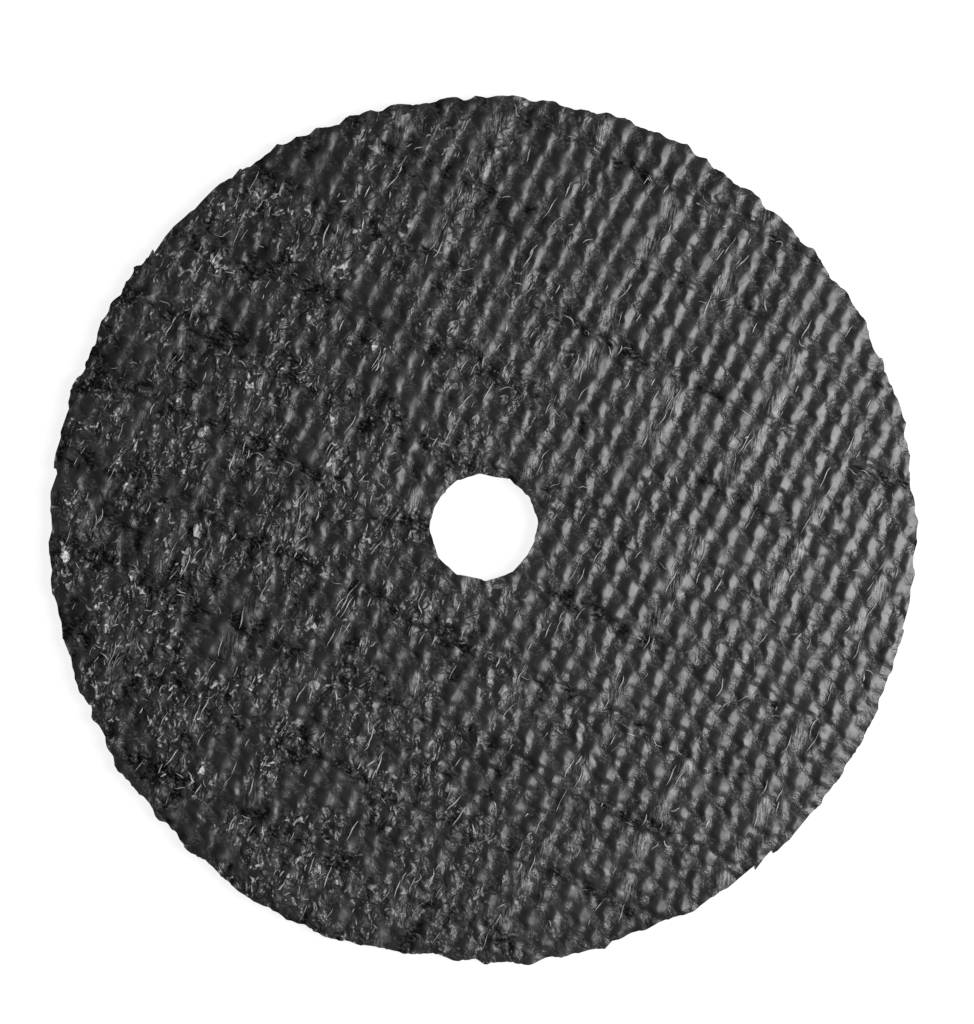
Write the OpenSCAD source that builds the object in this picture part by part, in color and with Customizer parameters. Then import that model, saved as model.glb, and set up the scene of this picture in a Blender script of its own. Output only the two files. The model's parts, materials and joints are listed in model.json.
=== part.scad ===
// Thin abrasive cut off wheel, moulded in one piece, with a cloth's weave pressed into both faces.
// Lengths are in millimetres and angles in degrees. The origin is on the bore's axis at mid
// thickness, and Z runs along that axis towards the front face.

/* [Wheel] */
// Mean outside diameter
outside_d = 76.2; // [50:0.1:84]
// Thickness over the highest beads of the front and the ribs of the back
thickness = 1.6; // [1.2:0.05:4]
// Diameter of the arbor bore
bore_d = 9.53; // [5:0.01:20]
// How far the bore's axis lies to the right of the rim's centre
bore_off_x = 0.18; // [-0.5:0.01:0.5]
// How far the bore's axis lies above the rim's centre
bore_off_y = 0.26; // [-0.5:0.01:0.5]
// How far the rough cut rim strays in and out
rim_stray = 0.22; // [0:0.01:0.4]

/* [Weave] */
// Direction in which the ribs run, from the X axis
rib_angle = 62.5; // [0:0.5:180]
// Spacing of the ribs
rib_pitch = 1.9; // [1.75:0.05:3]
// Spacing of the cross threads
pick_pitch = 1.19; // [1.1:0.01:2]
// Lean of the cross threads from square to the ribs
pick_lean = 0.7; // [-3:0.1:3]
// Distance of the first rib from the bore's axis
rib_shift = 0.48; // [0:0.01:1.9]
// Distance of that rib's first bead along the rib
bead_shift = -0.05; // [-2.4:0.01:2.4]
// Depth of the valleys between the ribs of the front
valley_depth = 0.24; // [0.05:0.01:0.4]
// Dip of a rib's neck between two beads
neck_dip = 0.07; // [0:0.01:0.2]
// How far a bead bulges over the valley beside it
bead_bulge = 0.16; // [0:0.01:0.4]
// Depth of the valleys on the back, whose ribs have no beads
back_depth = 0.16; // [0.05:0.01:0.4]

/* [Glass mesh] */
// Spacing of the mesh strands that lie along the ribs
strand_pitch = 8.1; // [4:0.1:12]
// Distance of the first such strand from the bore's axis
strand_shift = 0.75; // [-4:0.01:4]
// Width over which such a strand lifts the necks of a rib
strand_w = 1.9; // [0.5:0.1:3]
// Spacing of the mesh strands that lie across the ribs
row_pitch = 7.34; // [4:0.01:12]
// Distance of the first such strand from the bore's axis
row_shift = -2.98; // [-4:0.01:4]
// Width of the furrow that such a strand leaves in the ribs
row_w = 1.3; // [0.5:0.1:3]
// Depth of that furrow
row_dip = 0.12; // [0:0.01:0.3]

/* [Hidden] */

across = rib_angle - 90;
line_gap = rib_pitch / 2;
rim_r = outside_d / 2;
rim_u = -bore_off_x * cos(across) - bore_off_y * sin(across);
rim_v = bore_off_x * sin(across) - bore_off_y * cos(across);
first_line = ceil((rim_u - rim_r + line_gap - rib_shift) / line_gap);
last_line = floor((rim_u + rim_r - line_gap - rib_shift) / line_gap);
back_step = 6;
bore_over = 1;
rim_seed = 7;
rim_corners = 1000;
stray = rands(-1, 1, rim_corners, rim_seed);

// Radius of the rough rim at its k-th corner
function rim_at(k) = rim_r + rim_stray * stray[k];

// Remainder of a whole number by two, also below zero
function parity(n) = n - 2 * floor(n / 2);

// Distance of x from the nearest of evenly spaced marks
function off_mark(x, shift, pitch) = abs(x - shift - pitch * round((x - shift) / pitch));

// Distance of line c from the bore's axis, where even lines are ribs and odd ones are valleys
function line_u(c) = rib_shift + c * line_gap;

// Place along the line at u where pick j crosses it
function pick_v(u, j) = bead_shift + j * pick_pitch + u * tan(pick_lean);

// Depth of a rib's crest at pick j: beads stand full, necks dip between them, and the mesh shows
function crest_depth(rib, j, u, v) =
    let (
        lifted = off_mark(u, strand_shift, strand_pitch) < strand_w / 2,
        furrowed = off_mark(v, row_shift, row_pitch) < row_w / 2
    )
    (lifted ? 0 : neck_dip * parity(rib + j)) + (furrowed ? row_dip : 0);

// Point of the front face on line c at pick j, with the valleys swaying round the beads
function front_point(c, j) =
    let (
        u = line_u(c),
        v = pick_v(u, j),
        rib = floor(c / 2),
        is_rib = parity(c) == 0,
        sway = bead_bulge * (1 - 2 * parity(rib + j)),
        depth = is_rib ? crest_depth(rib, j, u, v) : valley_depth
    )
    [u + (is_rib ? 0 : sway), v, thickness / 2 - depth];

// Point of the back face on line c at pick j, with plain ribs
function back_point(c, j) =
    let (u = line_u(c))
    [u, pick_v(u, j), parity(c) * back_depth - thickness / 2];

// Height of the rim's edge where it meets a line of the front or the back
function edge_z(c, front) = front
    ? thickness / 2 - parity(c) * valley_depth
    : parity(c) * back_depth - thickness / 2;

// Half the chord that the rim's k-th corner leaves at distance d from the rim's centre
function half_chord(d, k) = sqrt(pow(rim_at(k), 2) - d * d);

// Lower and upper end of line c on the rim
function line_ends(c) =
    let (
        d = line_u(c) - rim_u,
        k = 2 * (c - first_line)
    )
    [rim_v - half_chord(d, k), rim_v + half_chord(d, k + 1)];

// Picks that cross line c between its ends, clear of the rim by half a pick
function picks_on(c, step) =
    let (
        start = pick_v(line_u(c), 0),
        ends = line_ends(c),
        low = ceil((ends[0] - start) / pick_pitch + 0.5),
        high = floor((ends[1] - start) / pick_pitch - 0.5)
    )
    [for (j = [low:1:high]) if (j % step == 0) j];

// All points of line c on one face, from its lower end on the rim to its upper end
function line_points(c, front) =
    let (
        u = line_u(c),
        ends = line_ends(c),
        z = edge_z(c, front)
    )
    concat(
        [[u, ends[0], z]],
        [for (j = picks_on(c, front ? 1 : back_step)) front ? front_point(c, j) : back_point(c, j)],
        [[u, ends[1], z]]
    );

// Rim corners beyond the outermost line c, on the left or the right, as one more curved line
function cap_points(c, sign, front) =
    let (
        ends = line_ends(c),
        steps = floor((ends[1] - ends[0]) / pick_pitch),
        step = (ends[1] - ends[0]) / steps,
        corner = 2 * (last_line - first_line + 1) + (sign > 0 ? 0 : steps),
        z = (edge_z(0, front) + edge_z(1, front)) / 2
    )
    [for (i = [2:1:steps - 2])
        let (v = ends[0] + i * step)
        [rim_u + sign * half_chord(v - rim_v, corner + i), v, z]];

// All lines of one face from left to right, with the two caps outermost
function face_lines(front) = concat(
    [cap_points(first_line, -1, front)],
    [for (c = [first_line:1:last_line]) line_points(c, front)],
    [cap_points(last_line, 1, front)]
);

// Number of the first point of each line, counted on from base
function starts(lines, base) =
    [for (i = 0, n = base; i < len(lines); n = n + len(lines[i]), i = i + 1) n];

// Middles of the steps along a line
function middles(line) = [for (k = [1:1:len(line) - 1]) (line[k - 1][1] + line[k][1]) / 2];

// How many values of a list lie under x, or up to and with x
function count_under(list, x) = len([for (e = list) if (e < x) e]);
function count_upto(list, x) = len([for (e = list) if (e <= x) e]);

// Triangles between neighbouring lines a and b, whose first points are numbers a0 and b0
function strip(a, b, a0, b0) =
    let (
        a_mid = middles(a),
        b_mid = middles(b)
    )
    concat(
        [for (k = [0:1:len(a_mid) - 1]) [a0 + k, a0 + k + 1, b0 + count_upto(b_mid, a_mid[k])]],
        [for (m = [0:1:len(b_mid) - 1]) [b0 + m + 1, b0 + m, a0 + count_under(a_mid, b_mid[m])]]
    );

// Triangles of a whole face, clockwise from above
function face_triangles(lines, first) = [
    for (i = [1:1:len(lines) - 1])
        for (t = strip(lines[i - 1], lines[i], first[i - 1], first[i])) t
];

// Numbers of the points round the edge of a face, in order
function edge_loop(lines, first) =
    let (n = len(lines) - 1)
    concat(
        [for (i = [1:1:n - 1]) first[i]],
        [for (k = [0:1:len(lines[n]) - 1]) first[n] + k],
        [for (i = [n - 1:-1:1]) first[i] + len(lines[i]) - 1],
        [for (k = [len(lines[0]) - 1:-1:0]) first[0] + k]
    );

// Points of all lines in one list
function flat(lines) = [for (line = lines) for (p = line) p];

// Disc with the woven front, the ribbed back and the rough rim between them
module woven_disc() {
    front = face_lines(true);
    back = face_lines(false);
    front_first = starts(front, 0);
    back_first = starts(back, len(flat(front)));
    front_edge = edge_loop(front, front_first);
    back_edge = edge_loop(back, back_first);
    corners = len(front_edge);
    top = face_triangles(front, front_first);
    under = [for (t = face_triangles(back, back_first)) [t[0], t[2], t[1]]];
    wall = [for (i = [0:1:corners - 1])
        let (next = (i + 1) % corners)
        [front_edge[i], front_edge[next], back_edge[next], back_edge[i]]];
    rotate([0, 0, across])
        polyhedron(concat(flat(front), flat(back)), concat(top, under, wall));
}

// The whole wheel, bored for its arbor
module cut_off_wheel() {
    color("dimgray")
        difference() {
            woven_disc();
            cylinder(d = bore_d, h = thickness + 2 * bore_over, center = true, $fn = 96);
        }
}

cut_off_wheel();
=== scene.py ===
"""Dress the cut off wheel: a resin-bonded disc with a cloth's weave pressed into its faces.

The wheel lies flat on a white floor with its front face up, and the camera looks straight
down on it. Lengths are in millimetres on the wheel and in metres on the stage. On the wheel,
u runs across the ribs of the weave and v along them, both from the bore's axis.
"""

import json
import logging
import math
from dataclasses import dataclass, field
from enum import Enum
from typing import Dict, List, Optional, Tuple, Union

import bpy
import numpy as np
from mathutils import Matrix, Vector

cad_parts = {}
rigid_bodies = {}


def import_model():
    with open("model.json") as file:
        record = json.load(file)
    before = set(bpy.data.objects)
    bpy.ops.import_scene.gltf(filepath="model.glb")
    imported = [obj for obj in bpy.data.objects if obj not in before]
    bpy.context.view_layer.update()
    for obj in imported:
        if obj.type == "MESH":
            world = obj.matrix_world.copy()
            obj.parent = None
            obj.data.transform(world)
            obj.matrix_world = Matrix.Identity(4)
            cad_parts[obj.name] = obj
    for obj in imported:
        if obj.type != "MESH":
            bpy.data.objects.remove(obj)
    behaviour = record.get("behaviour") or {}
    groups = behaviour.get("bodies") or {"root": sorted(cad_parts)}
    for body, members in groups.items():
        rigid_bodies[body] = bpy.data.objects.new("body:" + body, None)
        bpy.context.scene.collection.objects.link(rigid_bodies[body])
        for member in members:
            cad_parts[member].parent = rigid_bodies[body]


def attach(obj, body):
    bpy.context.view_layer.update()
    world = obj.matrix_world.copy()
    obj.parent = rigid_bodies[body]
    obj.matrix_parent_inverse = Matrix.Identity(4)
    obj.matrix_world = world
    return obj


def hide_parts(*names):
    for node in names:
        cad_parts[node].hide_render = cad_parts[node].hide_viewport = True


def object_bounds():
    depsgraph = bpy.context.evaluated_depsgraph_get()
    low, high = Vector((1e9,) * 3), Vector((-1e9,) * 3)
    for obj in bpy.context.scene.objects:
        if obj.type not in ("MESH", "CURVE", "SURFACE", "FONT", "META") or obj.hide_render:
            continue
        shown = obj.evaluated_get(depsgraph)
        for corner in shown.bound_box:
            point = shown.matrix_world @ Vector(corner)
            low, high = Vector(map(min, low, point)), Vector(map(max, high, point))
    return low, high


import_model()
CAD_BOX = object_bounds()

LOG = logging.getLogger("cut_off_wheel")
MM = 0.001
FULL_TURN = 360.0
NODE = "cut_off_wheel"
BODY = "root"
SHARES = ("cross", "floats", "film", "pits")

Array = np.ndarray
Socket = bpy.types.NodeSocket
Span = Tuple[float, float]
Value = Union[Socket, float, Tuple[float, ...]]
WHOLE: Span = (0.0, 1.0)


class Side(Enum):
    """The two faces of the wheel."""

    FRONT = 1
    BACK = -1


class Lay(Enum):
    """Where a kind of stray fibre lies."""

    STRAND = "along the mesh strands"
    ROW = "along the mesh rows"
    RIB = "along the left edges of the ribs"
    FILM = "anywhere, most of all on the left"


def smooth_step(low: float, high: float, x: Array) -> Array:
    """Rise smoothly from 0 at low to 1 at high."""
    t = np.clip((x - low) / (high - low), 0.0, 1.0)
    return t * t * (3.0 - 2.0 * t)


def nearest_mark(x: Array, shift: float, pitch: float) -> Array:
    """Number of the nearest of evenly spaced marks."""
    return np.round((x - shift) / pitch)


def off_mark(x: Array, shift: float, pitch: float) -> Array:
    """Signed distance of x from the nearest of evenly spaced marks."""
    return x - shift - pitch * nearest_mark(x, shift, pitch)


def between(span: Span, share: Array) -> Array:
    """Value at a share of the way from a span's first end to its second."""
    first, second = span
    return first + (second - first) * share


def half_chord(radius: Array, off: Array, least: float = 0.0) -> Array:
    """Half the chord of a circle at a distance from its centre, never under a least length."""
    return np.sqrt(np.maximum(radius**2 - off**2, least**2))


def bearing(reach: Array, off: Array, upright: bool) -> Array:
    """Angle of a point that lies so far along a line, which passes the centre so far off."""
    return np.arctan2(reach, off) if upright else np.arctan2(off, reach)


def put(name: str, data: bpy.types.ID) -> bpy.types.Object:
    """Make an object and put it into the scene."""
    thing = bpy.data.objects.new(name, data)
    bpy.context.scene.collection.objects.link(thing)
    return thing


class Grain:
    """Seeded smooth noise between -1 and 1 on a wrapped lattice."""

    SIZE = 256

    def __init__(self, seed: int) -> None:
        """Fill the lattice.

        Args:
            seed: number that fixes the pattern.
        """
        self.table = np.random.default_rng(seed).uniform(-1.0, 1.0, (self.SIZE, self.SIZE))

    def cell(self, i: Array, j: Array) -> Array:
        """Value of whole cells, the same all over each cell."""
        return self.table[i.astype(int) % self.SIZE, j.astype(int) % self.SIZE]

    def at(self, x: Array, y: Array) -> Array:
        """Blend the lattice smoothly at any point.

        Args:
            x: first coordinate, in lattice steps.
            y: second coordinate, in lattice steps.

        Returns:
            The noise at each point.
        """
        i, j = np.floor(x), np.floor(y)
        fx, fy = smooth_step(*WHOLE, x - i), smooth_step(*WHOLE, y - j)
        low = self.cell(i, j) * (1.0 - fx) + self.cell(i + 1, j) * fx
        high = self.cell(i, j + 1) * (1.0 - fx) + self.cell(i + 1, j + 1) * fx
        return low * (1.0 - fy) + high * fy

    def ring(self, angle: Array, steps: int, row: int) -> Array:
        """Blend one row of the lattice round a closed ring.

        Args:
            angle: angle round the ring, in radians.
            steps: lattice steps in the whole ring.
            row: which row of the lattice.

        Returns:
            The noise at each angle.
        """
        t = (angle / math.tau % 1.0) * steps
        i = np.floor(t)
        f = smooth_step(*WHOLE, t - i)
        rows = np.full_like(t, row)
        return self.cell(i % steps, rows) * (1.0 - f) + self.cell((i + 1) % steps, rows) * f


@dataclass(frozen=True)
class Patches:
    """One field of noise over the face: the size of its cells, and its corner of the lattice."""

    cell: float
    corner: Span

    def of(self, grain: Grain, u: Array, v: Array) -> Array:
        """Noise of this field from -1 to 1, at places across and along the ribs."""
        first, second = self.corner
        return grain.at(u / self.cell + first, v / self.cell + second)


@dataclass(frozen=True)
class Ripple:
    """One grade of roughness round an edge: its depth, its steps in a turn, and its lattice row."""

    depth: float
    steps: int
    row: int

    def of(self, grain: Grain, angle: Array) -> Array:
        """How far the edge strays at each angle."""
        return self.depth * grain.ring(angle, self.steps, self.row)


@dataclass
class Relief:
    """The woven front at a set of points: its height, and which threads lie on top."""

    height: Array
    cross: Array
    floats: Array
    film: Array
    pits: Array


@dataclass
class Cloth:
    """The pressed cloth: beaded ribs along v, and the cross threads, or picks, between them.

    Widths and sways of a rib are shares of its pitch, and places along it are in picks. Heights
    are in millimetres.
    """

    rib_pitch: float = 1.898
    rib_shift: float = 0.53
    rib_drop: float = 0.290
    rib_crown: float = 0.22
    rib_width: float = 0.449
    bead_picks: float = 2.0
    bead_shift: float = -0.070
    bead_rise: float = 0.202
    bead_hold: float = 0.579
    bead_fall: float = 0.225
    bead_crimp: float = 0.003
    bead_tip: float = -0.027
    bead_bend: float = -0.108
    bead_swell: float = 0.252
    bead_sway: float = 0.078
    bead_odd: float = 0.04
    width_odd: float = 0.10
    neck_notch: float = 0.034
    notch_place: float = 1.166
    notch_w: float = 0.194
    pick_pitch: float = 1.193
    pick_shift: float = -0.408
    pick_level: float = -0.134
    pick_crimp: float = 0.071
    pick_drop: float = 0.075
    uneven: float = 0.026
    seed: int = 12

    def __post_init__(self) -> None:
        """Fix the seeded odds of the beads."""
        self.odds = Grain(self.seed)

    def swing(self, beat: Array) -> Array:
        """Swing along a rib between a bead, 1, and a neck, -1.

        Args:
            beat: place along the rib from the middle of a bead, in picks.

        Returns:
            The swing, which rises sharply at one end of a bead and falls off at the other.
        """
        part = (self.bead_hold - beat) / self.bead_picks % 1.0
        rise, fall = self.bead_rise / 2.0, self.bead_fall / 2.0
        up = smooth_step(-rise, rise, part) + smooth_step(-rise, rise, part - 1.0)
        down = smooth_step(-fall, fall, part - self.bead_hold)
        return 2.0 * (up - down) - 1.0

    def rib(self, a: Array, b: Array, rib: Array, beading: Array) -> Array:
        """Height of one rib's own thread at each point.

        Args:
            a: place across the ribs, in rib pitches.
            b: place along the ribs, in picks.
            rib: number of the rib.
            beading: how much of the beading shows, from 0 to 1.

        Returns:
            The height of that rib.
        """
        beat = b + rib
        swing = self.swing(beat + self.bead_bend * (a - rib)) * beading
        odd = self.odds.cell(rib, np.round(beat))
        half_w = self.rib_width * (1.0 + self.bead_swell * swing + self.width_odd * odd)
        side = (a - rib - self.bead_odd * odd + self.bead_sway * swing) / half_w
        flank = self.rib_drop * (np.hypot(side, self.rib_crown) - self.rib_crown)
        tip = self.bead_tip * beading * np.sin(np.pi * beat)
        from_notch = off_mark(beat, self.notch_place, self.bead_picks) / self.notch_w
        notch = self.neck_notch * beading * np.exp(-(from_notch**2))
        return self.bead_crimp * swing + tip + self.uneven * odd - flank - notch

    def ribs(self, a: Array, b: Array, beading: Array) -> Array:
        """Height of the highest rib at each point, from the same values as for one rib."""
        nearest = np.round(a)
        return np.maximum.reduce([self.rib(a, b, nearest + k, beading) for k in (-1, 0, 1)])

    def picks(self, a: Array, b: Array) -> Array:
        """Height of the cross threads.

        Args:
            a: place across the ribs, in rib pitches.
            b: place along the ribs from a cross thread, in picks.

        Returns:
            The height of the nearest cross thread at each point.
        """
        pick = np.round(b)
        swing = -np.cos(np.pi * (a + pick))
        odd = self.odds.cell(pick, np.round((a + pick) / self.bead_picks))
        drop = self.pick_drop * (2.0 * (b - pick)) ** 2
        return self.pick_level + self.pick_crimp * swing + self.uneven * odd - drop


@dataclass
class GlassMesh:
    """The coarser glass mesh: strands that float up along the ribs, and rows across them.

    A value called from is the lattice row where one kind of luck begins, and the span called left
    holds the amounts on the right and on the left of the wheel.
    """

    strand_pitch: float = 8.1
    strand_shift: float = 1.17
    row_pitch: float = 7.34
    row_shift: float = -2.55
    row_lean: float = 0.75
    floats_per_row: int = 2
    float_w: float = 0.72
    float_square: int = 4
    float_ends: int = 6
    float_lift: float = 0.07
    float_share: float = 0.33
    float_stray: float = 0.45
    float_stray_from: int = 160
    float_slant: float = 0.15
    float_luck: Span = (-0.10, 0.25)
    float_left: Span = (1.0, 0.55)
    bar_w: float = 0.34
    bar_square: int = 4
    bar_lift: float = 0.13
    bar_luck: Span = (0.0, 0.25)
    bar_luck_from: int = 80
    furrow_w: float = 0.20
    furrow_dip: float = 0.12
    furrow_waver: float = 0.22
    furrow_cell: float = 2.6
    furrow_luck: Span = (-0.3, 0.5)
    furrow_apart: float = 3.0
    furrow_waver_from: float = 120.0
    furrow_luck_from: float = 40.0
    drift_seed: int = 11
    luck_seed: int = 13

    def __post_init__(self) -> None:
        """Fix the seeded patterns."""
        self.drift = Grain(self.drift_seed)
        self.luck = Grain(self.luck_seed)

    def row_place(self, u: Array, v: Array) -> Array:
        """Place along the ribs, less the lean of the rows."""
        return v - u * math.tan(math.radians(self.row_lean))

    def off_row(self, v: Array) -> Array:
        """Signed distance from the nearest row."""
        return off_mark(v, self.row_shift, self.row_pitch)

    def off_strand(self, u: Array, aside: float = 0.0) -> Array:
        """Signed distance from the nearest strand, or from a line so far aside of it."""
        return off_mark(u, self.strand_shift + aside, self.strand_pitch)

    def floats(self, u: Array, v: Array, left: Array) -> Array:
        """How much a strand lies on top.

        Args:
            u, v: places across and along the ribs, the second less the lean of the rows.
            left: how far to the left of the wheel, from 0 to 1.

        Returns:
            The share of the strand at each point, from 0 to 1.
        """
        column = nearest_mark(u, self.strand_shift, self.strand_pitch)
        part = self.floats_per_row * (v - self.row_shift) / self.row_pitch
        part_no = np.floor(part)
        along = (part - part_no - 0.5) / self.float_share
        stray = self.float_stray * self.luck.cell(column + self.float_stray_from, part_no)
        side = self.off_strand(u) - stray + self.float_slant * along
        there = smooth_step(*self.float_luck, self.luck.cell(column, part_no))
        worn = (side / self.float_w) ** self.float_square + along**self.float_ends
        return there * between(self.float_left, left) * np.exp(-worn)

    def bars(self, a: Array, v: Array) -> Array:
        """Lift of the short bars where a row's thread floats over a rib.

        Args:
            a: place across the ribs, in rib pitches.
            v: place along the ribs, less the lean of the rows.

        Returns:
            The lift at each point.
        """
        row_no = nearest_mark(v, self.row_shift, self.row_pitch)
        luck = self.luck.cell(np.round(a), row_no + self.bar_luck_from)
        there = smooth_step(*self.bar_luck, luck)
        return self.bar_lift * there * np.exp(-((self.off_row(v) / self.bar_w) ** self.bar_square))

    def furrows(self, u: Array, v: Array) -> Array:
        """Depth of the broken, wavering furrows beside the rows.

        Args:
            u, v: places across and along the ribs, the second less the lean of the rows.

        Returns:
            The depth at each point.
        """
        row_at = self.furrow_apart * nearest_mark(v, self.row_shift, self.row_pitch)
        across = u / self.furrow_cell
        waver = self.furrow_waver * self.drift.at(across, row_at + self.furrow_waver_from)
        luck = self.drift.at(across, row_at + self.furrow_luck_from)
        off = (self.off_row(v) - self.bar_w + waver) / self.furrow_w
        return self.furrow_dip * smooth_step(*self.furrow_luck, luck) * np.exp(-(off**2))


@dataclass
class TornResin:
    """Resin torn on leaving the mould: film that lies on the face in scraps, lips, and pits that the finish
    darkens with painted shade.

    Each span called left holds the amounts on the right and on the left of the wheel, and each
    one called edges holds the noise at which something begins and at which it is full.
    """

    pit_dip: float = 0.06
    pit_level: float = 0.42
    pit_edges: Span = (0.05, 0.60)
    pit_wider_left: Span = (1.0, 1.6)
    tears: Patches = Patches(0.60, (200.0, 150.0))
    row_w: float = 0.72
    row_patches: Patches = Patches(4.2, (300.0, 250.0))
    row_edges: Span = (-0.35, 0.45)
    row_pits: Span = (0.10, 0.65)
    strand_w: float = 0.55
    strand_side: float = 1.9
    strand_pits_left: Span = (0.05, 0.40)
    loose_patches: Patches = Patches(1.9, (400.0, 350.0))
    loose_edges: Span = (-0.05, 0.60)
    loose_pits_left: Span = (0.30, 0.55)
    film_patches: Patches = Patches(2.4, (33.0, 77.0))
    film_edges: Span = (-0.7, 0.6)
    film_left: Span = (0.15, 1.0)
    film_fill: float = 0.05
    lip_height: float = 0.05
    lip_cell: float = 0.8
    lip_corners: Tuple[Span, Span] = ((5.0, 8.0), (45.0, 28.0))
    lip_bend: float = 0.35
    lip_edges: Span = (0.80, 1.0)
    seed: int = 15

    def __post_init__(self) -> None:
        """Fix the seeded pattern of the film."""
        self.grain = Grain(self.seed)

    def pits(self, mesh: GlassMesh, u: Array, v: Array, left: Array) -> Array:
        """How deep the torn pits are along the mesh rows, beside its strands and elsewhere; the finish
        paints shade into them.

        Args:
            mesh: the glass mesh.
            u, v: places across and along the ribs, the second less the lean of the rows.
            left: how far to the left of the wheel, from 0 to 1.

        Returns:
            The share of the full depth at each point, from 0 to 1.
        """
        wider = between(self.pit_wider_left, left)
        row = mesh.off_row(v) / (self.row_w * wider)
        beside = mesh.off_strand(u, self.strand_side) / (self.strand_w * wider)
        kept = smooth_step(*self.row_edges, self.row_patches.of(self.grain, u, v))
        near = between(self.row_pits, np.maximum(left, kept)) * np.exp(-(row**2))
        near = near + between(self.strand_pits_left, left) * np.exp(-(beside**2))
        loose = smooth_step(*self.loose_edges, self.loose_patches.of(self.grain, u, v))
        near = near + between(self.loose_pits_left, left) * loose
        return smooth_step(*self.pit_edges, near * (self.pit_level + self.tears.of(self.grain, u, v)))

    def film_share(self, u: Array, v: Array, left: Array) -> Array:
        """How much torn film lies on the face, from 0 to 1, in patches and most of all on the left."""
        patch = self.film_patches.of(self.grain, u, v)
        return smooth_step(*self.film_edges, patch) * between(self.film_left, left)

    def lips(self, u: Array, v: Array) -> Array:
        """Height of the thin lips of torn film where it lies.

        Args:
            u, v: places across and along the ribs.

        Returns:
            The height at each point.
        """
        bends = [Patches(self.lip_cell, corner).of(self.grain, u, v) for corner in self.lip_corners]
        bent = [x / self.lip_cell + self.lip_bend * bend for x, bend in zip((u, v), bends)]
        lip = 1.0 - np.abs(self.grain.at(*bent))
        return self.lip_height * smooth_step(*self.lip_edges, lip)


@dataclass
class Weave:
    """The woven front: the cloth over the glass mesh, a little out of true, with torn resin on it."""

    cloth: Cloth = field(default_factory=Cloth)
    mesh: GlassMesh = field(default_factory=GlassMesh)
    resin: TornResin = field(default_factory=TornResin)
    rib_angle: float = 62.5
    pick_lean: float = 0.7
    thread_blend: float = 0.015
    wobble: float = 0.09
    wobble_u: Patches = Patches(4.6, (9.3, 3.1))
    wobble_v: Patches = Patches(4.6, (70.2, 55.4))
    ragged: float = 0.10
    ragged_u: Patches = Patches(0.75, (140.3, 31.7))
    ragged_v: Patches = Patches(0.75, (20.9, 180.6))
    left_reach: Span = (16.0, -26.0)

    def __post_init__(self) -> None:
        """Work out the turn of the weave and the lean of the cross threads."""
        self.turn = math.radians(self.rib_angle - 90.0)
        self.lean = math.tan(math.radians(self.pick_lean))

    def to_wheel(self, u: Array, v: Array) -> Tuple[Array, Array]:
        """Turn weave coordinates into the wheel's x and y."""
        c, s = math.cos(self.turn), math.sin(self.turn)
        return u * c - v * s, u * s + v * c

    def to_weave(self, x: Array, y: Array) -> Tuple[Array, Array]:
        """Turn the wheel's x and y into weave coordinates."""
        c, s = math.cos(self.turn), math.sin(self.turn)
        return x * c + y * s, y * c - x * s

    def leftness(self, u: Array, v: Array) -> Array:
        """How far to the left of the wheel points lie, from 0 to 1."""
        x, _ = self.to_wheel(u, v)
        return smooth_step(*self.left_reach, x)

    def film_share(self, u: Array, v: Array) -> Array:
        """How much torn film lies at each point, from 0 to 1."""
        return self.resin.film_share(u, v, self.leftness(u, v))

    def strayed(self, u: Array, v: Array) -> Tuple[Array, Array]:
        """Where the threads at each point would lie if the cloth were true.

        Args:
            u, v: places across and along the ribs.

        Returns:
            The places across and along the ribs, the second less the lean of the cross threads.
        """
        drift = self.mesh.drift
        us = u + self.wobble * self.wobble_u.of(drift, u, v)
        vs = v - u * self.lean + self.wobble * self.wobble_v.of(drift, u, v)
        us = us + self.ragged * self.ragged_u.of(drift, u, v)
        vs = vs + self.ragged * self.ragged_v.of(drift, u, v)
        return us, vs

    def relief(self, u: Array, v: Array) -> Relief:
        """Shape of the woven front about its mean plane.

        Args:
            u, v: places across and along the ribs.

        Returns:
            The height, and the shares of cross threads, floating strands, torn film and pits.
        """
        cloth, mesh, resin = self.cloth, self.mesh, self.resin
        us, vs = self.strayed(u, v)
        rows = mesh.row_place(us, vs)
        left = self.leftness(us, rows)
        film = self.film_share(u, v)
        floats = mesh.floats(us, rows, left)
        pits = resin.pits(mesh, us, rows, left)
        a = (us - cloth.rib_shift) / cloth.rib_pitch
        ribs = cloth.ribs(a, (vs - cloth.bead_shift) / cloth.pick_pitch, 1.0 - floats)
        ribs = ribs + mesh.float_lift * floats
        picks = cloth.picks(a, (vs - cloth.pick_shift) / cloth.pick_pitch)
        picks = picks + mesh.bars(a, rows) + resin.film_fill * film
        woven = 0.5 * (ribs + picks + np.hypot(ribs - picks, self.thread_blend))
        height = woven - mesh.furrows(us, rows) - resin.pit_dip * pits + resin.lips(u, v) * film
        cross = smooth_step(-self.thread_blend, self.thread_blend, picks - ribs)
        return Relief(height, cross, floats, film, pits)


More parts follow.
